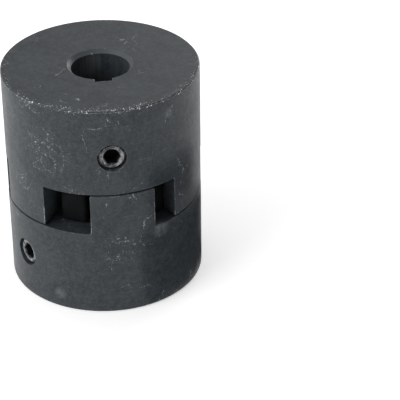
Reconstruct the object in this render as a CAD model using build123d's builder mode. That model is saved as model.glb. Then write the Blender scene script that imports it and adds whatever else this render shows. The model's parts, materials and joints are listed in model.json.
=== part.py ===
"""Jaw coupling for 5/8 in keyed shafts: two three-jaw hubs meshed about an elastomer spider, with a set
screw over the keyway of each hub. The hubs are alike but for where their keyways and screws stand.

Frame: origin at the centre of the lower hub's end face, +Z along the shaft axis. Millimetres.
Angles are in degrees about +Z, counted from +X.
"""

import os
from math import cos, radians, sin, tan

from build123d import *

# Hub
hub_diameter = 53.6
hub_length = 25.1  # end face to the flat face between the jaws
face_gap = 12.3  # between the flat faces of the two hubs
rim_chamfer = 0.3  # outer corner of the end face
rim_break = 0.15  # outer corner of the flat face between the jaws

# Bore and keyway, for a 5/8 in shaft and a 3/16 in square key
bore_diameter = 15.875
bore_chamfer = 1.0
keyway_width = 4.76
keyway_floor = 10.07  # from the shaft axis

# Jaws
jaw_count = 3
jaw_height = 11.9
jaw_pitch = 60.0  # between a jaw of one hub and the next jaw of the other hub, when centred
slot_width = 10.2  # between neighbouring jaw flanks when centred
jaw_tip = 15.4  # from the axis to the flat inner end of a jaw
jaw_root_fillet = 0.7
jaw_top_break = 0.2

# Place of the hubs and keyways about the axis
lower_jaw_angle = -90.0
upper_hub_turn = 7.1  # the upper hub stands this far clockwise of centred
upper_jaw_angle = lower_jaw_angle + jaw_pitch - upper_hub_turn
lower_keyway_angle = -156.3
upper_keyway_angle = -95.5

# Set screws, 5/16 in with a 5/32 in hexagon socket
screw_diameter = 7.7
screw_hole_diameter = 7.8
screw_hole_break = 0.08
screw_length = 12.7
lower_screw_height = 13.0  # from the hub's end face to the screw's axis
upper_screw_height = 13.9
screw_recess = 0.8  # of the screw's outer end below the hub's outside
screw_end_break = 0.5
socket_across_flats = 3.97
socket_depth = 4.0
cup_diameter = 4.6
cup_depth = 1.2

# Spider
leg_count = 6
spider_disc_radius = 14.6
leg_end_radius = 22.0
leg_clearance = 0.06  # to the jaw flank that the leg bears on
spider_thickness = 11.3
pad_clearance = 0.03  # from a pad to the hub face
pad_radius = 1.6  # a round pad on each side of every leg seats the hub faces
pad_circle_radius = 18.6
dish_radius = 10.5
dish_depth = 1.6
leg_end_round = 1.2
leg_root_round = 0.9

hub_radius = hub_diameter / 2
total_length = 2 * hub_length + face_gap
spider_middle = total_length / 2
spider_turn = upper_hub_turn / 2  # the spider stands midway between the two hubs
leg_angle = lower_jaw_angle + jaw_pitch / 2 - spider_turn

os.makedirs("parts", exist_ok=True)


def edges_at(part, height):
    """The part's edges whose middle is at one height."""
    return part.edges().filter_by_position(Axis.Z, height - 0.01, height + 0.01)


def radial_plane(angle, height):
    """A plane whose Z points straight out from the axis at an angle, with its Y along the axis."""
    outward = Vector(cos(radians(angle)), sin(radians(angle)), 0)
    across = Vector(-sin(radians(angle)), cos(radians(angle)), 0)
    return Plane(origin=(0, 0, height), x_dir=across, z_dir=outward)


# Jaw outline, along +X. Each flank is parallel to the middle line of the slot beside it.
flank_angle = jaw_pitch / 2
flank_apex = slot_width / 2 / sin(radians(flank_angle))  # where the two flanks would meet
tip_half_width = (jaw_tip - flank_apex) * tan(radians(flank_angle))
outer_half_width = (hub_radius - flank_apex) * tan(radians(flank_angle))

with BuildSketch() as jaw_outline:
    with BuildLine():
        Polyline(
            (jaw_tip, -tip_half_width),
            (hub_radius, -outer_half_width),
            (hub_radius, outer_half_width),
            (jaw_tip, tip_half_width),
            close=True,
        )
    make_face()
    Circle(hub_radius, mode=Mode.INTERSECT)


# Hubs. The jaws of the lower one point up, and those of the upper one point down.
hubs = [
    ("hub_lower", 0.0, 1, lower_jaw_angle, lower_keyway_angle, lower_screw_height),
    ("hub_upper", total_length, -1, upper_jaw_angle, upper_keyway_angle, upper_screw_height),
]

for node, end_z, facing, jaw_angle, keyway_angle, screw_height in hubs:
    face_z = end_z + facing * hub_length
    tip_z = face_z + facing * jaw_height
    screw_z = end_z + facing * screw_height

    with BuildPart() as hub:
        with BuildSketch(Plane.XY.offset(end_z)):
            Circle(hub_radius)
        extrude(amount=facing * hub_length)
        chamfer(edges_at(hub, end_z), rim_chamfer)
        chamfer(edges_at(hub, face_z), rim_break)

        # The jaws start below the edge break, so that their outsides run flush into the body.
        with BuildSketch(Plane.XY.offset(face_z - facing * rim_break)):
            with PolarLocations(0, jaw_count, start_angle=jaw_angle):
                add(jaw_outline.sketch)
        extrude(amount=facing * (jaw_height + rim_break))
        chamfer(edges_at(hub, tip_z), jaw_top_break)
        fillet(edges_at(hub, face_z).filter_by(GeomType.LINE), jaw_root_fillet)

        # Bore, with its mouth chamfered on the end face only.
        with BuildSketch(Plane.XY.offset(end_z)):
            Circle(bore_diameter / 2)
        extrude(amount=facing * hub_length, mode=Mode.SUBTRACT)
        chamfer(edges_at(hub, end_z).sort_by(SortBy.LENGTH)[0], bore_chamfer)

        # Keyway, the whole length of the bore.
        with BuildSketch(Plane.XY.offset(end_z)):
            with PolarLocations(0, 1, start_angle=keyway_angle):
                Rectangle(keyway_floor, keyway_width, align=(Align.MIN, Align.CENTER))
        extrude(amount=facing * hub_length, mode=Mode.SUBTRACT)

        # Tapped hole for the set screw, from the outside into the keyway.
        hole_plane = radial_plane(keyway_angle, screw_z)
        with BuildSketch(hole_plane):
            Circle(screw_hole_diameter / 2)
        extrude(amount=hub_diameter, mode=Mode.SUBTRACT)
        hole_centre = hole_plane.origin + hole_plane.z_dir * hub_radius
        chamfer(hub.edges().sort_by_distance(hole_centre)[0], screw_hole_break)

    hub.part.label = node
    export_step(hub.part, f"parts/{node}.step")


# Spider. All six legs are alike, and taper so that each bears flat on a jaw flank.
leg_half_at_axis = (slot_width / 2 - leg_clearance) / cos(radians(spider_turn))
leg_end_half = leg_half_at_axis - leg_end_radius * tan(radians(spider_turn))
pad_height = (face_gap - spider_thickness) / 2 - pad_clearance

with BuildSketch() as leg_outline:
    with BuildLine():
        Polyline(
            (0, -leg_half_at_axis),
            (leg_end_radius, -leg_end_half),
            (leg_end_radius, leg_end_half),
            (0, leg_half_at_axis),
            close=True,
        )
    make_face()
    fillet(leg_outline.vertices().group_by(Axis.X)[-1], leg_end_round)

with BuildSketch() as spider_outline:
    Circle(spider_disc_radius)
    with PolarLocations(0, leg_count, start_angle=leg_angle):
        add(leg_outline.sketch)
    leg_roots = spider_outline.vertices().filter_by(
        lambda corner: abs(Vector(corner).length - spider_disc_radius) < 0.01
    )
    fillet(leg_roots, leg_root_round)

with BuildPart() as spider:
    with BuildSketch(Plane.XY.offset(spider_middle)):
        add(spider_outline.sketch)
    extrude(amount=spider_thickness / 2, both=True)
    for side in (1, -1):
        spider_face = Plane.XY.offset(spider_middle + side * spider_thickness / 2)
        with BuildSketch(spider_face):
            Circle(dish_radius)
        extrude(amount=-side * dish_depth, mode=Mode.SUBTRACT)
        with BuildSketch(spider_face):
            with PolarLocations(pad_circle_radius, leg_count, start_angle=leg_angle):
                Circle(pad_radius)
        extrude(amount=side * pad_height)

spider.part.label = "spider"
export_step(spider.part, "parts/spider.step")


# Set screws: headless, with a hexagon socket outside and a cup point inside.
screws = [
    ("set_screw_lower", lower_screw_height, lower_keyway_angle),
    ("set_screw_upper", total_length - upper_screw_height, upper_keyway_angle),
]
screw_outer_end = hub_radius - screw_recess
screw_inner_end = screw_outer_end - screw_length

for node, screw_z, angle in screws:
    axis_plane = radial_plane(angle, screw_z)
    with BuildPart() as set_screw:
        with BuildSketch(axis_plane.offset(screw_inner_end)):
            Circle(screw_diameter / 2)
        extrude(amount=screw_length)
        chamfer(set_screw.edges().filter_by(GeomType.CIRCLE), screw_end_break)
        with BuildSketch(axis_plane.offset(screw_outer_end)):
            RegularPolygon(socket_across_flats / 2, 6, major_radius=False, rotation=30)
        extrude(amount=-socket_depth, mode=Mode.SUBTRACT)
        with BuildSketch(axis_plane.offset(screw_inner_end)):
            Circle(cup_diameter / 2)
        extrude(amount=cup_depth, taper=45, mode=Mode.SUBTRACT)

    set_screw.part.label = node
    export_step(set_screw.part, f"parts/{node}.step")
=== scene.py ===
"""Jaw coupling: two blackened iron hubs meshed about a rubber spider, with a set screw in each hub.

The scene is in metres. The sizes below are in millimetres and go through MM, unless they say otherwise.
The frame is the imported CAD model's: origin at the centre of the lower end face, +Z along the shaft axis.
"""

import json
import math
from types import SimpleNamespace

import bmesh
import bpy
from mathutils import Matrix, Vector


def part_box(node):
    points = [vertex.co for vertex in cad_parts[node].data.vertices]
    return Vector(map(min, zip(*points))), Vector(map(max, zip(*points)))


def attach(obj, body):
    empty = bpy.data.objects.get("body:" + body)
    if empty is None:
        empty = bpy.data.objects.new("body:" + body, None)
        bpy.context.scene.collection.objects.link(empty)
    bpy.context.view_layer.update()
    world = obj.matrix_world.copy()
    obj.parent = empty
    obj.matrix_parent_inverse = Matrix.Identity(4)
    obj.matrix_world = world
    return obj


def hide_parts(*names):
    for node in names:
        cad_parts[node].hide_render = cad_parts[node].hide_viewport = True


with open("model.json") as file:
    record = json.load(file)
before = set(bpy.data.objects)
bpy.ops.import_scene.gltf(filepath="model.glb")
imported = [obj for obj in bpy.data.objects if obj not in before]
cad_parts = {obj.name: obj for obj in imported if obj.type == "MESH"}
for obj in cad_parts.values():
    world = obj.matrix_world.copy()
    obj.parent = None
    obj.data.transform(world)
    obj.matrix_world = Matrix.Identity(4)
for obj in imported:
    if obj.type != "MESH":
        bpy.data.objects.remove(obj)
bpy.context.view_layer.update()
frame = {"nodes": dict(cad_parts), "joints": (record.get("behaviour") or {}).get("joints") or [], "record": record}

MM = 0.001

hub_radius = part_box("hub_lower")[1].x / MM
mounts = {mount["name"]: mount for mount in frame["record"]["mounts"]}
bore_radius = mounts["bore_upper"]["dims"]["r_mm"]
total_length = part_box("hub_upper")[1].z / MM
bore_chamfer = 1.0
joints = {joint["name"]: joint for joint in frame["joints"]}


def on_circle(radius, angle, height=0.0):
    """A point at an angle about the axis, in radians."""
    return Vector((radius * math.cos(angle), radius * math.sin(angle), height))


# ---------------------------------------------------------------- shader helpers


def new_material(name):
    """An empty node material, with its Principled shader."""
    material = bpy.data.materials.new(name)
    material.use_nodes = True
    return material, material.node_tree, material.node_tree.nodes["Principled BSDF"]


def node(tree, kind, inputs=None, **settings):
    """Adds a shader node. An input is a value, or a socket to link."""
    made = tree.nodes.new("ShaderNode" + kind)
    for name, value in settings.items():
        setattr(made, name, value)
    for key, value in (inputs or {}).items():
        if isinstance(value, bpy.types.NodeSocket):
            tree.links.new(value, made.inputs[key])
        else:
            made.inputs[key].default_value = value
    return made


def math_node(tree, operation, *values, clamp=False):
    made = node(tree, "Math", dict(enumerate(values)), operation=operation, use_clamp=clamp)
    return made.outputs[0]


def times(tree, first, second):
    return math_node(tree, "MULTIPLY", first, second)


def plus(tree, first, second):
    return math_node(tree, "ADD", first, second)


def strongest(tree, first, second):
    return math_node(tree, "MAXIMUM", first, second)


def vector_scale(tree, vector, factors):
    made = node(tree, "VectorMath", {0: vector, 1: factors}, operation="MULTIPLY")
    return made.outputs[0]


def noise(tree, vector, scale, detail=3.0, roughness=0.5, distortion=0.0):
    """Noise from 0 to 1, in features per millimetre."""
    inputs = {
        "Vector": vector,
        "Scale": scale,
        "Detail": detail,
        "Roughness": roughness,
        "Distortion": distortion,
    }
    return node(tree, "TexNoise", inputs).outputs[0]


def band(tree, value, low, high, to_low=0.0, to_high=1.0):
    """value from low to high becomes to_low to to_high, smoothly and clamped."""
    inputs = {0: value, 1: low, 2: high, 3: to_low, 4: to_high}
    return node(tree, "MapRange", inputs, interpolation_type="SMOOTHSTEP").outputs[0]


def blend_colours(tree, factor, first, second):
    """first where factor is 0, second where it is 1. A colour is a socket, or three numbers."""
    made = node(tree, "Mix", {0: factor}, data_type="RGBA")
    for index, colour in ((6, first), (7, second)):
        if isinstance(colour, bpy.types.NodeSocket):
            tree.links.new(colour, made.inputs[index])
        else:
            made.inputs[index].default_value = (*colour, 1)
    return made.outputs[2]


def millimetres(tree):
    """The point on the object, in millimetres."""
    coords = node(tree, "TexCoord").outputs["Object"]
    return vector_scale(tree, coords, (1 / MM, 1 / MM, 1 / MM))


def set_surface(tree, shader, colour, roughness, specular, metallic=None):
    """Links what varies over the surface; specular is one value."""
    tree.links.new(colour, shader.inputs["Base Color"])
    tree.links.new(roughness, shader.inputs["Roughness"])
    shader.inputs["Specular IOR Level"].default_value = specular
    if metallic is not None:
        tree.links.new(metallic, shader.inputs["Metallic"])


def set_bump(tree, shader, height, strength, depth):
    """Bumps about depth millimetres high."""
    bump = node(tree, "Bump", {"Height": height, "Strength": strength, "Distance": depth * MM})
    tree.links.new(bump.outputs[0], shader.inputs["Normal"])


def set_plain(shader, colour, roughness):
    """One colour and roughness all over."""
    shader.inputs["Base Color"].default_value = (*colour, 1)
    shader.inputs["Roughness"].default_value = roughness


def edge_mask(tree, radius):
    """1 on a corner and 0 more than about radius, in millimetres, away from it."""
    rounded = node(tree, "Bevel", {"Radius": radius * MM}, samples=8).outputs[0]
    flat = node(tree, "NewGeometry").outputs["Normal"]
    alike = node(tree, "VectorMath", {0: rounded, 1: flat}, operation="DOT_PRODUCT").outputs["Value"]
    return math_node(tree, "SUBTRACT", 1.0, alike, clamp=True)


# ---------------------------------------------------------------- materials


# Places on the outside of the hubs: angle about the axis in degrees, height and reach in millimetres.
# Knocks first, then pale rubbed spots.
knocks = (
    (-137, 48.5, 10.0),
    (-157, 37.0, 5.0),
    (-89, 58.5, 3.6),
    (-97, 62.5, 6.0),
    (-93, 20.0, 6.5),
    (-67, 24.0, 3.5),
    (-148, 61.0, 4.0),
    (-96, 46.5, 5.5),
    (-120, 37.5, 4.5),
    (-146, 30.0, 2.5),
    (-85, 36.5, 3.2),
)
smears = (
    (-130, 4.5, 2.4),
    (-67, 23.5, 3.2),
    (-60, 58.0, 2.0),
)

# Places on the wall of the upper bore, in the same terms: a lighter patch, and nicks along its rim.
bore_rubs = (
    (100, 58.5, 4.5),
)
bore_nicks = (
    (125, 61.5, 1.2),
    (102, 61.5, 0.8),
    (93, 61.5, 0.9),
)


def near_places(tree, point, radius, spots):
    """1 at the middle of each spot on a cylinder about the axis, 0 beyond its reach. In millimetres."""
    places = None
    for angle, height, reach in spots:
        centre = on_circle(radius, math.radians(angle), height)
        distance = node(tree, "VectorMath", {0: point, 1: centre}, operation="DISTANCE").outputs["Value"]
        place = band(tree, distance, 0.3 * reach, reach, 1.0, 0.0)
        places = place if places is None else strongest(tree, places, place)
    return places


def hairlines(tree, point, scale, width, bend):
    """Thin wandering lines, about 1 / scale millimetres apart."""
    warp = node(tree, "TexNoise", {"Vector": point, "Scale": 2 * scale, "Detail": 3.0}).outputs[1]
    warp = vector_scale(tree, warp, (bend, bend, bend))
    warped = node(tree, "VectorMath", {0: point, 1: warp}, operation="ADD").outputs[0]
    inputs = {"Vector": warped, "Scale": scale}
    distance = node(tree, "TexVoronoi", inputs, feature="DISTANCE_TO_EDGE").outputs[0]
    return band(tree, distance, 0.0, width * scale, 1.0, 0.0)


def specks(tree, point, scale, smallest_share, places):
    """Round specks on a jittered grid, scale cells to the millimetre.

    Only cells whose random share is over smallest_share have one, and fewer do where places is low.
    """
    largest_speck = 0.42  # radius, in grid cells
    inputs = {"Vector": point, "Scale": scale, "Randomness": 1.0}
    cells = node(tree, "TexVoronoi", inputs, feature="F1")
    share = node(tree, "SeparateColor", {0: cells.outputs["Color"]}).outputs[0]
    reach = band(tree, times(tree, share, places), smallest_share, 1.0, 0.0, largest_speck)
    return math_node(tree, "LESS_THAN", cells.outputs["Distance"], reach)


# The iron, from its dark coat to bare metal.
coat_dark = (0.0205, 0.0250, 0.0285)
coat_light = (0.035, 0.042, 0.0475)
coat_grain = (0.105, 0.118, 0.13)
coat_speckle = (0.080, 0.091, 0.101)
coat_rubbed = (0.11, 0.12, 0.13)
bore_streak = (0.055, 0.062, 0.068)
# Lighter metal: the bore's rubbed patch, and painted light on the bore mouth's chamfer.
rubbed_metal_and_painted_light = (0.085, 0.094, 0.103)
scuff_haze = (0.17, 0.185, 0.20)
scratch_metal = (0.40, 0.42, 0.44)
chip_metal = (0.62, 0.63, 0.64)
corner_metal = (0.66, 0.67, 0.68)


def iron_fields(tree):
    """What the layers of the iron share: where the point is, and the noises that vary them."""
    at = SimpleNamespace()
    at.point = millimetres(tree)
    _, at.y, at.z = node(tree, "SeparateXYZ", {0: at.point}).outputs
    flat_point = vector_scale(tree, at.point, (1, 1, 0))
    at.across = node(tree, "VectorMath", {0: flat_point}, operation="LENGTH").outputs["Value"]
    from_top = math_node(tree, "SUBTRACT", total_length, at.z)
    at.to_end = math_node(tree, "MINIMUM", at.z, from_top)

    at.mottle = noise(tree, at.point, 0.11, detail=5.0, roughness=0.6, distortion=0.4)
    at.cloud = noise(tree, at.point, 0.55, detail=4.0, roughness=0.65)
    at.grain = noise(tree, at.point, 3.2, detail=2.0, roughness=0.7)
    at.crumbs = noise(tree, at.point, 1.7, detail=3.0, roughness=0.75)
    at.speckle = noise(tree, at.point, 1.1, detail=5.0, roughness=0.85)
    at.patches = noise(tree, at.point, 0.12, detail=3.0, roughness=0.6)
    at.tone = plus(tree, times(tree, at.mottle, 0.45), times(tree, at.cloud, 0.55))

    at.knocked = near_places(tree, at.point, hub_radius, knocks)
    at.handled = strongest(tree, at.knocked, band(tree, at.patches, 0.50, 0.66, 0.0, 0.75))
    return at


def iron_coat(tree, at):
    """The mottled coat with its grain, speckle and pale rubbed spots."""
    colour = blend_colours(tree, band(tree, at.tone, 0.32, 0.68), coat_dark, coat_light)
    colour = blend_colours(tree, band(tree, at.grain, 0.50, 0.76, 0.0, 0.32), colour, coat_grain)
    colour = blend_colours(tree, band(tree, at.speckle, 0.46, 0.66, 0.0, 0.30), colour, coat_speckle)
    smeared = near_places(tree, at.point, hub_radius, smears)
    smeared = times(tree, smeared, band(tree, at.cloud, 0.35, 0.55, 0.2, 0.6))
    return blend_colours(tree, smeared, colour, coat_rubbed)


def turning_marks(tree, at):
    """Noise in fine rings on the end faces, and in fine lines round the outside."""
    normal = node(tree, "NewGeometry").outputs["True Normal"]
    normal_z = node(tree, "SeparateXYZ", {0: normal}).outputs[2]
    end_face = band(tree, math_node(tree, "ABSOLUTE", normal_z), 0.6, 0.8)
    turned = node(tree, "Mix", {0: end_face, 2: at.z, 3: at.across}, data_type="FLOAT").outputs[0]
    along = node(tree, "CombineXYZ", {0: turned}).outputs[0]
    return noise(tree, along, 1.9, detail=3.0, roughness=0.75)


def iron_bore(tree, at, colour):
    """The bore is streaked along its length and rubbed in one place. Its mouth's chamfer is lighter all round:
    painted light over the chamfer's shade.
    """
    in_bore = band(tree, at.across, bore_radius + 0.1, bore_radius + 0.5, 1.0, 0.0)
    lengthways = vector_scale(tree, at.point, (1, 1, 0.05))
    lengthways = noise(tree, lengthways, 0.8, detail=3.0, roughness=0.7)
    streaked = times(tree, in_bore, band(tree, lengthways, 0.38, 0.66, 0.0, 0.60))
    colour = blend_colours(tree, streaked, colour, bore_streak)
    rubbed = near_places(tree, at.point, bore_radius, bore_rubs)
    rubbed = times(tree, rubbed, band(tree, lengthways, 0.30, 0.60, 0.25, 1.0))
    colour = blend_colours(tree, times(tree, in_bore, rubbed), colour, rubbed_metal_and_painted_light)

    # The mouth's chamfer is lightened: painted light over its shade.
    mouth_radius = bore_radius + bore_chamfer
    mouth = band(tree, at.across, mouth_radius - 0.1, mouth_radius + 0.05, 1.0, 0.0)
    mouth = times(tree, mouth, band(tree, at.to_end, bore_chamfer - 0.05, bore_chamfer + 0.05, 1.0, 0.0))
    return blend_colours(tree, times(tree, mouth, 0.8), colour, rubbed_metal_and_painted_light)


def iron_scuffs(tree, at, colour):
    """A pale haze of short streaks in two directions, where the hubs were handled."""
    scuffs = None
    for turn, stretch in ((0.5, (0.5, 0.5, 3.0)), (-0.7, (2.6, 2.6, 0.5))):
        inputs = {"Vector": at.point, "Angle": turn, "Axis": (0.7, 0.7, 0.1)}
        spun = vector_scale(tree, node(tree, "VectorRotate", inputs).outputs[0], stretch)
        streaks = noise(tree, spun, 1.0, detail=4.0, roughness=0.75, distortion=0.5)
        streaks = band(tree, streaks, 0.58, 0.74)
        scuffs = streaks if scuffs is None else strongest(tree, scuffs, streaks)
    scuffs = times(tree, scuffs, at.handled)
    return blend_colours(tree, times(tree, scuffs, 0.38), colour, scuff_haze)


def iron_scratches(tree, at):
    """Thin wandering lines broken into dots and dashes."""
    broken = times(tree, band(tree, at.crumbs, 0.48, 0.58), band(tree, at.cloud, 0.40, 0.52, 0.45, 1.0))
    long_lines = hairlines(tree, at.point, scale=0.08, width=0.15, bend=7.0)
    short_lines = hairlines(tree, at.point, scale=0.20, width=0.13, bend=5.5)
    scratches = times(tree, long_lines, band(tree, at.patches, 0.52, 0.60))
    scratches = strongest(tree, scratches, times(tree, short_lines, at.knocked))
    return times(tree, scratches, broken)


def iron_rim_wear(tree, at):
    """How worn the outer rims are: most in front and on top."""
    near_rim = band(tree, at.across, hub_radius - 4.5, hub_radius - 0.2)
    near_rim = times(tree, near_rim, band(tree, at.to_end, 0.2, 2.0, 1.0, 0.0))
    front = band(tree, at.y, -hub_radius, 0.4 * hub_radius, 1.0, 0.55)
    top = band(tree, at.z, 0.4 * total_length, 0.6 * total_length, 0.6, 1.0)
    rim_wear = times(tree, times(tree, near_rim, front), top)
    return times(tree, rim_wear, band(tree, at.cloud, 0.34, 0.56, 0.65, 1.0))


def iron_chips(tree, at, rim_wear):
    """Chips in the coat: a few everywhere, more where handled, and most along the outer rims."""
    chip_places = strongest(tree, times(tree, at.handled, 0.90), 0.80)
    chips = specks(tree, at.point, scale=1.7, smallest_share=0.74, places=chip_places)
    rim_dust = specks(tree, at.point, scale=3.4, smallest_share=0.25, places=rim_wear)
    rim_chips = specks(tree, at.point, scale=1.9, smallest_share=0.06, places=rim_wear)
    nick_places = near_places(tree, at.point, bore_radius, bore_nicks)
    nicks = specks(tree, at.point, scale=2.6, smallest_share=0.12, places=nick_places)
    chips = strongest(tree, times(tree, chips, 0.45), times(tree, rim_dust, 0.55))
    chips = strongest(tree, chips, times(tree, rim_chips, 0.95))
    return strongest(tree, chips, times(tree, nicks, 0.9))


def iron_corners(tree, at, rim_wear):
    """Bruised corners: bare bright metal, broken up, and dull between the bruises."""
    corner = band(tree, edge_mask(tree, 0.35), 0.03, 0.25)
    bruised = plus(tree, band(tree, at.patches, 0.44, 0.60, 0.0, 0.22), times(tree, rim_wear, 0.48))
    bruised = plus(tree, bruised, at.crumbs)
    return times(tree, corner, band(tree, bruised, 0.56, 0.74, 0.10, 1.0))


def blackened_iron(name):
    """Steam-blackened iron: slate grey and mottled, with scuffs, scratches, chips and bruised rims."""
    material, tree, shader = new_material(name)
    at = iron_fields(tree)
    colour = iron_coat(tree, at)
    marks = turning_marks(tree, at)
    mark_tone = times(tree, band(tree, marks, 0.50, 0.72, 0.0, 0.30), band(tree, at.mottle, 0.36, 0.60))
    colour = blend_colours(tree, mark_tone, colour, coat_rubbed)
    colour = iron_bore(tree, at, colour)
    colour = iron_scuffs(tree, at, colour)
    scratches = iron_scratches(tree, at)
    colour = blend_colours(tree, times(tree, scratches, 0.85), colour, scratch_metal)
    rim_wear = iron_rim_wear(tree, at)
    chips = iron_chips(tree, at, rim_wear)
    colour = blend_colours(tree, chips, colour, chip_metal)
    bare = iron_corners(tree, at, rim_wear)
    colour = blend_colours(tree, times(tree, bare, 0.9), colour, corner_metal)

    worn = strongest(tree, bare, chips)
    roughness = band(tree, at.tone, 0.3, 0.7, 0.46, 0.38)
    roughness = math_node(tree, "SUBTRACT", roughness, times(tree, worn, 0.08))
    set_surface(tree, shader, colour, roughness, specular=0.25, metallic=times(tree, worn, 0.6))

    height = plus(tree, times(tree, at.grain, 0.6), times(tree, at.cloud, 0.5))
    height = plus(tree, height, times(tree, marks, 0.5))
    height = math_node(tree, "SUBTRACT", height, times(tree, scratches, 0.5))
    set_bump(tree, shader, height, strength=0.4, depth=0.03)
    return material


def blackened_steel(name):
    """Black oxide on the set screws, polished a little at the socket's mouth and the thread crests."""
    oxide_dark = (0.028, 0.0325, 0.037)
    oxide_light = (0.062, 0.070, 0.078)
    bare_steel = (0.62, 0.635, 0.65)
    # painted shade for the socket's recess
    socket_shade_black = (0.003, 0.0035, 0.004)
    material, tree, shader = new_material(name)
    point = millimetres(tree)
    cloud = noise(tree, point, 0.9, detail=4.0, roughness=0.6)
    grain = noise(tree, point, 6.0, detail=2.0)
    colour = blend_colours(tree, band(tree, cloud, 0.35, 0.65), oxide_dark, oxide_light)
    corner = edge_mask(tree, 0.22)
    bare = band(tree, plus(tree, corner, times(tree, cloud, 0.40)), 0.22, 0.34)
    rubbed = band(tree, noise(tree, point, 0.6, detail=5.0, roughness=0.8), 0.44, 0.58, 0.0, 0.60)
    bare = strongest(tree, bare, rubbed)
    colour = blend_colours(tree, times(tree, bare, 0.8), colour, bare_steel)

    # The socket keeps its coat, and is painted near black: painted shade in the recess.
    in_socket = node(tree, "Attribute", attribute_name="in_socket").outputs["Fac"]
    colour = blend_colours(tree, in_socket, colour, socket_shade_black)
    polished = times(tree, bare, math_node(tree, "SUBTRACT", 1.0, in_socket))
    roughness = plus(tree, band(tree, grain, 0.3, 0.7, 0.30, 0.42), times(tree, in_socket, 0.4))
    set_surface(tree, shader, colour, roughness, specular=0.2, metallic=times(tree, polished, 0.7))
    set_bump(tree, shader, grain, strength=0.25, depth=0.02)
    return material


def nitrile_rubber(name):
    """Black moulded rubber, with a faint grey bloom."""
    rubber_black = (0.0035, 0.0040, 0.0045)
    rubber_bloom = (0.0085, 0.0095, 0.0105)
    material, tree, shader = new_material(name)
    point = millimetres(tree)
    bloom = noise(tree, point, 0.25, detail=5.0, roughness=0.6)
    grain = noise(tree, point, 5.0, detail=2.0)
    colour = blend_colours(tree, band(tree, bloom, 0.45, 0.75), rubber_black, rubber_bloom)
    roughness = band(tree, bloom, 0.3, 0.7, 0.62, 0.80)
    set_surface(tree, shader, colour, roughness, specular=0.08)
    set_bump(tree, shader, grain, strength=0.3, depth=0.03)
    return material


iron = blackened_iron("steam_blackened_iron")
screw_steel = blackened_steel("black_oxide_steel")
rubber = nitrile_rubber("moulded_nitrile")


# ---------------------------------------------------------------- mesh helpers

sharp_angle = math.radians(35)  # edges that turn further stay sharp


def round_steps(count):
    """Angles evenly round the circle."""
    return [math.tau * i / count for i in range(count)]


def ring(mesh, points):
    return [mesh.verts.new(point) for point in points]


def skin(mesh, rings):
    """Quads between each closed ring and the next; all have the same number of points."""
    for first, second in zip(rings, rings[1:]):
        for i in range(len(first)):
            j = (i + 1) % len(first)
            mesh.faces.new((first[i], first[j], second[j], second[i]))


def cone_to_point(mesh, last_ring, point):
    """Closes a ring with triangles to one point."""
    tip = mesh.verts.new(point)
    for i in range(len(last_ring)):
        mesh.faces.new((last_ring[i], last_ring[(i + 1) % len(last_ring)], tip))
    return tip


def fill_between(mesh, loops):
    """Triangles in the flat region between an outer loop and the holes in it."""
    edges = []
    for loop in loops:
        for i in range(len(loop)):
            pair = (loop[i], loop[(i + 1) % len(loop)])
            edges.append(mesh.edges.get(pair) or mesh.edges.new(pair))
    bmesh.ops.triangle_fill(mesh, edges=edges, use_beauty=True)


def add_object(name, data):
    """A new object in the scene."""
    made = bpy.data.objects.new(name, data)
    bpy.context.scene.collection.objects.link(made)
    return made


def add_mesh_object(name, mesh, material):
    """A new object of one material, from a mesh in millimetres."""
    mesh.transform(Matrix.Scale(MM, 4))
    data = bpy.data.meshes.new(name)
    mesh.to_mesh(data)
    mesh.free()
    data.materials.append(material)
    return add_object(name, data)


def finish_piece(mesh, name, body, material, cad_node):
    """Turns the mesh into a piece that rides on a body in place of its CAD node."""
    bmesh.ops.recalc_face_normals(mesh, faces=mesh.faces)
    for edge in mesh.edges:
        edge.smooth = len(edge.link_faces) != 2 or edge.calc_face_angle() < sharp_angle
    for face in mesh.faces:
        face.smooth = True
    piece = add_mesh_object(name, mesh, material)
    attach(piece, body)
    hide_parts(cad_node)


# ---------------------------------------------------------------- set screws

screw_length = 12.7
thread_pitch = 1.411  # 18 threads to the inch
thread_depth = 0.62
crest_width = 1.18  # over 1 flattens the crests a little
thread_steps = 12  # rings in one pitch
screw_segments = 96
screw_chamfer = 0.75
socket_across_flats = 3.97
socket_mouth_radius = 2.45
socket_depth = 4.0
socket_point_depth = 5.0
cup_rim_radius = 2.3
cup_depth = 1.3


def hexagon_radius(angle):
    """Distance from the socket's axis to its wall."""
    from_flat = (angle % math.radians(60)) - math.radians(30)
    return socket_across_flats / 2 / math.cos(from_flat)


def thread_radius(crest_radius, height, angle):
    """A vee thread with rounded crest and root."""
    phase = (height / thread_pitch - angle / math.tau) % 1.0
    ridge = abs(2 * phase - 1)  # 1 on the crest and 0 at the root
    ridge = min(1.0, ridge * crest_width)
    rounded = ridge * ridge * (3 - 2 * ridge)
    return crest_radius - thread_depth * (1 - rounded)


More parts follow.
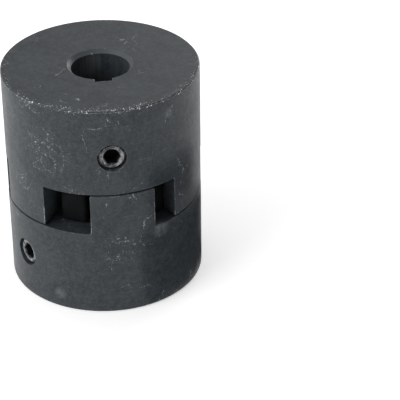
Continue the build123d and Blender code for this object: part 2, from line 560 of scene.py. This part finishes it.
def set_screw(name, body, joint):
    """Socket set screw with a cup point, made along +Z and turned to lie along its joint's axis."""
    low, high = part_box(name)
    crest_radius = (high.z - low.z) / 2 / MM
    angles = round_steps(screw_segments)
    mesh = bmesh.new()
    in_socket = mesh.verts.layers.float.new("in_socket")
    rings = []
    for step in range(int(screw_length / thread_pitch * thread_steps) + 1):
        height = min(screw_length, step * thread_pitch / thread_steps)
        to_end = min(height, screw_length - height)
        limit = crest_radius - max(0.0, screw_chamfer - to_end)
        points = [on_circle(min(limit, thread_radius(crest_radius, height, a)), a, height) for a in angles]
        rings.append(ring(mesh, points))
    rings.append(ring(mesh, [on_circle(crest_radius - screw_chamfer, a, screw_length) for a in angles]))
    rings.append(ring(mesh, [on_circle(socket_mouth_radius, a, screw_length) for a in angles]))
    # The countersink of the socket's mouth cuts deeper on the flats than in the corners.
    mouth = []
    for a in angles:
        reach = hexagon_radius(a)
        mouth.append(on_circle(reach, a, screw_length - (socket_mouth_radius - reach)))
    rings.append(ring(mesh, mouth))
    rings.append(ring(mesh, [on_circle(hexagon_radius(a), a, screw_length - socket_depth) for a in angles]))
    skin(mesh, rings)
    tip = cone_to_point(mesh, rings[-1], (0, 0, screw_length - socket_point_depth))
    # The socket's points are marked, for the painted shade in the recess.
    for vertex in (*rings[-2], *rings[-1], tip):
        vertex[in_socket] = 1.0
    cup = [rings[0], ring(mesh, [on_circle(cup_rim_radius, a, 0) for a in angles])]
    skin(mesh, cup)
    cone_to_point(mesh, cup[-1], (0, 0, cup_depth))

    outward = Vector(joints[joint]["axis"]).normalized()
    middle = (low + high) / 2 / MM
    turn = outward.to_track_quat("Z", "Y").to_matrix().to_4x4()
    mesh.transform(Matrix.Translation(middle - outward * screw_length / 2) @ turn)
    finish_piece(mesh, name + "_threaded", body, screw_steel, name)


set_screw("set_screw_lower", "lower_set_screw", "lower_screw_travel")
set_screw("set_screw_upper", "upper_set_screw", "upper_screw_travel")


# ---------------------------------------------------------------- spider

leg_count = 6
spider_core_radius = 14.6
leg_end_radius = 22.0
slot_half_width = 5.1
leg_clearance = 0.06
leg_end_round = 1.2
leg_root_round = 0.9
moulded_edge = 0.7
dish_radius = 10.5
dish_depth = 1.6
pad_radius = 1.6
pad_circle_radius = 18.6
spider_thickness = 11.3
first_leg_angle = math.radians(-60)  # midway between a lower jaw and the next upper one, before the turn
dish_segments = 72
pad_segments = 24
corner_steps = 5  # in a rounded corner of the outline
edge_steps = 5  # in a rounded moulded edge


def rounded_path(corners):
    """A closed outline through (point, radius) corners, each rounded by an arc of that radius."""
    path = []
    for i, (corner, radius) in enumerate(corners):
        before = corners[i - 1][0] - corner
        after = corners[(i + 1) % len(corners)][0] - corner
        half = before.angle(after) / 2
        start = corner + before.normalized() * radius / math.tan(half)
        centre = corner + (before.normalized() + after.normalized()).normalized() * radius / math.sin(half)
        end = corner + after.normalized() * radius / math.tan(half)
        for step in range(corner_steps + 1):
            arm = (start - centre).lerp(end - centre, step / corner_steps)
            path.append(centre + arm.normalized() * radius)
    return path


def inset(path, amount):
    """The outline moved inwards; it runs anticlockwise."""
    moved = []
    for i, point in enumerate(path):
        ahead = (path[(i + 1) % len(path)] - point).normalized()
        behind = (point - path[i - 1]).normalized()
        inwards = Vector((-(ahead + behind).y, (ahead + behind).x)).normalized()
        moved.append(point + inwards * amount / max(0.5, inwards.dot(Vector((-ahead.y, ahead.x)))))
    return moved


def spider_outline(turn, leg_angle):
    """Six tapered legs on a round core, with rounded ends and roots."""
    half_at_axis = (slot_half_width - leg_clearance) / math.cos(turn)
    corners = []
    for leg in range(leg_count):
        angle = leg_angle + math.tau * leg / leg_count
        along = Vector((math.cos(angle), math.sin(angle)))
        across = Vector((-along.y, along.x))
        root_half = half_at_axis - spider_core_radius * math.tan(turn)
        root = math.sqrt(spider_core_radius ** 2 - root_half ** 2)
        end_half = half_at_axis - leg_end_radius * math.tan(turn)
        corners.append((along * root - across * root_half, leg_root_round))
        corners.append((along * leg_end_radius - across * end_half, leg_end_round))
        corners.append((along * leg_end_radius + across * end_half, leg_end_round))
        corners.append((along * root + across * root_half, leg_root_round))
    return rounded_path(corners)


def moulded_side(mesh, outline, middle, side):
    """The rounded edge of one face, as rings from the widest in. side is 1 on top and -1 below."""
    rings = []
    for step in range(edge_steps + 1):
        bend = math.radians(90) * step / edge_steps
        shrink = moulded_edge * (1 - math.cos(bend))
        drop = moulded_edge * (1 - math.sin(bend))
        height = middle + side * (spider_thickness / 2 - drop)
        rings.append(ring(mesh, [Vector((*p, height)) for p in inset(outline, shrink)]))
    skin(mesh, rings)
    return rings


def dish(mesh, face_z, side):
    """A rounded lip, a sloping wall and a flat floor. Returns the ring that lies in the face."""
    profile = (
        (dish_radius + 0.5, 0.0),
        (dish_radius + 0.15, 0.08),
        (dish_radius - 0.15, 0.35),
        (dish_radius - 0.6, dish_depth - 0.35),
        (dish_radius - 0.95, dish_depth - 0.08),
        (dish_radius - 1.4, dish_depth),
    )
    angles = round_steps(dish_segments)
    rings = [ring(mesh, [on_circle(r, a, face_z - side * d) for a in angles]) for r, d in profile]
    skin(mesh, rings)
    mesh.faces.new(rings[-1])
    return rings[0]


def pad(mesh, centre, lift):
    """A low dome with a soft foot, raised by lift. Returns the ring that lies in the face."""
    profile = (
        (pad_radius + 0.3, 0.0),
        (pad_radius + 0.05, 0.15),
        (pad_radius - 0.05, 0.7),
        (pad_radius - 0.35, 1.0),
    )
    angles = round_steps(pad_segments)
    rings = []
    for radius, share in profile:
        raised = Vector((0, 0, lift * share))
        rings.append(ring(mesh, [centre + on_circle(radius, a) + raised for a in angles]))
    skin(mesh, rings)
    mesh.faces.new(rings[-1])
    return rings[0]


def make_spider():
    """Moulded six-legged spider with rounded edges, dished faces and a seating pad on every leg."""
    low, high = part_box("spider")
    middle = (low.z + high.z) / 2 / MM
    pad_height = (high.z - low.z) / 2 / MM - spider_thickness / 2
    turn = math.radians(joints["spider_play"]["range_deg"][1]) / 2
    leg_angle = first_leg_angle - turn
    outline = spider_outline(turn, leg_angle)
    mesh = bmesh.new()
    sides = []
    for side in (1, -1):
        face_z = middle + side * spider_thickness / 2
        rings = moulded_side(mesh, outline, middle, side)
        sides.append(rings)
        holes = [dish(mesh, face_z, side)]
        for leg in range(leg_count):
            centre = on_circle(pad_circle_radius, leg_angle + math.tau * leg / leg_count, face_z)
            holes.append(pad(mesh, centre, side * pad_height))
        fill_between(mesh, [rings[-1], *holes])
    skin(mesh, [sides[0][0], sides[1][0]])
    finish_piece(mesh, "spider_moulded", "spider", rubber, "spider")


make_spider()


# ---------------------------------------------------------------- hubs

for name in ("hub_lower", "hub_upper"):
    hub = frame["nodes"][name]
    hub.data.materials.clear()
    hub.data.materials.append(iron)
    for polygon in hub.data.polygons:
        polygon.use_smooth = True


# ---------------------------------------------------------------- studio

floor_half_width = 6000
floor_gap = 0.03  # below the coupling, so that the two faces don't coincide
card_steps = 16
camera_heading = math.radians(-13.57)
camera_pitch = math.radians(90 - 31.89)  # from straight down
camera_roll = math.radians(-0.49)
camera_place = Vector((26.5, -432.1, 288.0))  # before the heading turns it about the axis
camera_lens = 163.0
camera_sensor = 36


def studio_floor():
    """A wide plain floor, near white, that glows a little."""
    material, _, shader = new_material("floor_white")
    set_plain(shader, (0.93, 0.93, 0.93), roughness=0.9)
    shader.inputs["Specular IOR Level"].default_value = 0.2
    shader.inputs["Emission Color"].default_value = (1, 1, 1, 1)
    shader.inputs["Emission Strength"].default_value = 0.38
    half = floor_half_width
    corners = ((-half, -half), (half, -half), (half, half), (-half, half))
    mesh = bmesh.new()
    mesh.faces.new(ring(mesh, [(x, y, -floor_gap) for x, y in corners]))
    floor = add_mesh_object("floor", mesh, material)


def softbox(name, place, size, power):
    """A square area light that faces the coupling. Its place and size are in metres."""
    light = bpy.data.lights.new(name, "AREA")
    light.shape = "SQUARE"
    light.size = size
    light.energy = power
    lamp = add_object(name, light)
    lamp.location = place
    middle = Vector((0, 0, total_length / 2)) * MM
    towards = middle - Vector(place)
    lamp.rotation_euler = towards.to_track_quat("-Z", "Y").to_euler()


def world_light(bright_side, bright, dim, overhead):
    """White surroundings, from dim on one side to bright on the other, and overhead times that above."""
    world = bpy.data.worlds.new("studio")
    world.use_nodes = True
    tree = world.node_tree
    background = tree.nodes["Background"]
    background.inputs["Color"].default_value = (1, 1, 1, 1)
    direction = node(tree, "TexCoord").outputs["Generated"]
    inputs = {0: direction, 1: bright_side}
    side = node(tree, "VectorMath", inputs, operation="DOT_PRODUCT").outputs["Value"]
    height = node(tree, "SeparateXYZ", {0: direction}).outputs[2]
    across = band(tree, side, -1.0, 1.0, dim, bright)
    strength = times(tree, across, band(tree, height, 0.2, 0.8, 1.0, overhead))
    tree.links.new(strength, background.inputs["Strength"])
    bpy.context.scene.world = world


def dark_card(name, start, end, profile):
    """A dark card curved round one side of the coupling, that only reflections see: a dark sheet that stands in
    for shade, darkening the hubs' reflections on that side.

    It runs between two angles in degrees, through (radius, height) in millimetres.
    """
    material, _, shader = new_material(name + "_black")
    set_plain(shader, (0.01, 0.011, 0.012), roughness=0.6)
    angles = [math.radians(start + (end - start) * step / card_steps) for step in range(card_steps + 1)]
    mesh = bmesh.new()
    rows = []
    for radius, height in profile:
        rows.append(ring(mesh, [on_circle(radius, angle, height) for angle in angles]))
    for lower, upper in zip(rows, rows[1:]):
        for i in range(card_steps):
            mesh.faces.new((lower[i], lower[i + 1], upper[i + 1], upper[i]))
    card = add_mesh_object(name, mesh, material)
    card.visible_camera = False
    card.visible_shadow = False
    card.visible_diffuse = False


def product_camera():
    """Long lens from the front, a little to the left and well above, with the coupling at the left."""
    data = bpy.data.cameras.new("camera")
    data.sensor_width = camera_sensor
    data.lens = camera_lens
    data.clip_start = 0.01
    camera = add_object("camera", data)
    stand = Matrix.Rotation(camera_heading, 4, "Z") @ Matrix.Translation(camera_place * MM)
    tilt = Matrix.Rotation(camera_pitch, 4, "X") @ Matrix.Rotation(camera_roll, 4, "Z")
    camera.matrix_world = stand @ tilt
    bpy.context.scene.camera = camera


studio_floor()
world_light(bright_side=(-0.70, 0.71, 0.0), bright=0.70, dim=0.24, overhead=1.42)
softbox("key", (-0.75, -0.30, 0.50), size=0.6, power=4.3)
softbox("back", (0.50, 0.62, 0.18), size=0.5, power=3.3)
# Painted shade: dark cards that darken the hubs' reflections on that side.
dark_card("low_card", -76, 2, ((28.0, 0.05), (33.0, 0.05), (33.0, 20.5)))
dark_card("high_card", -68, -16, ((36.0, 20.5), (36.0, 37.0)))
product_camera()
bpy.context.scene.view_settings.view_transform = "Standard"
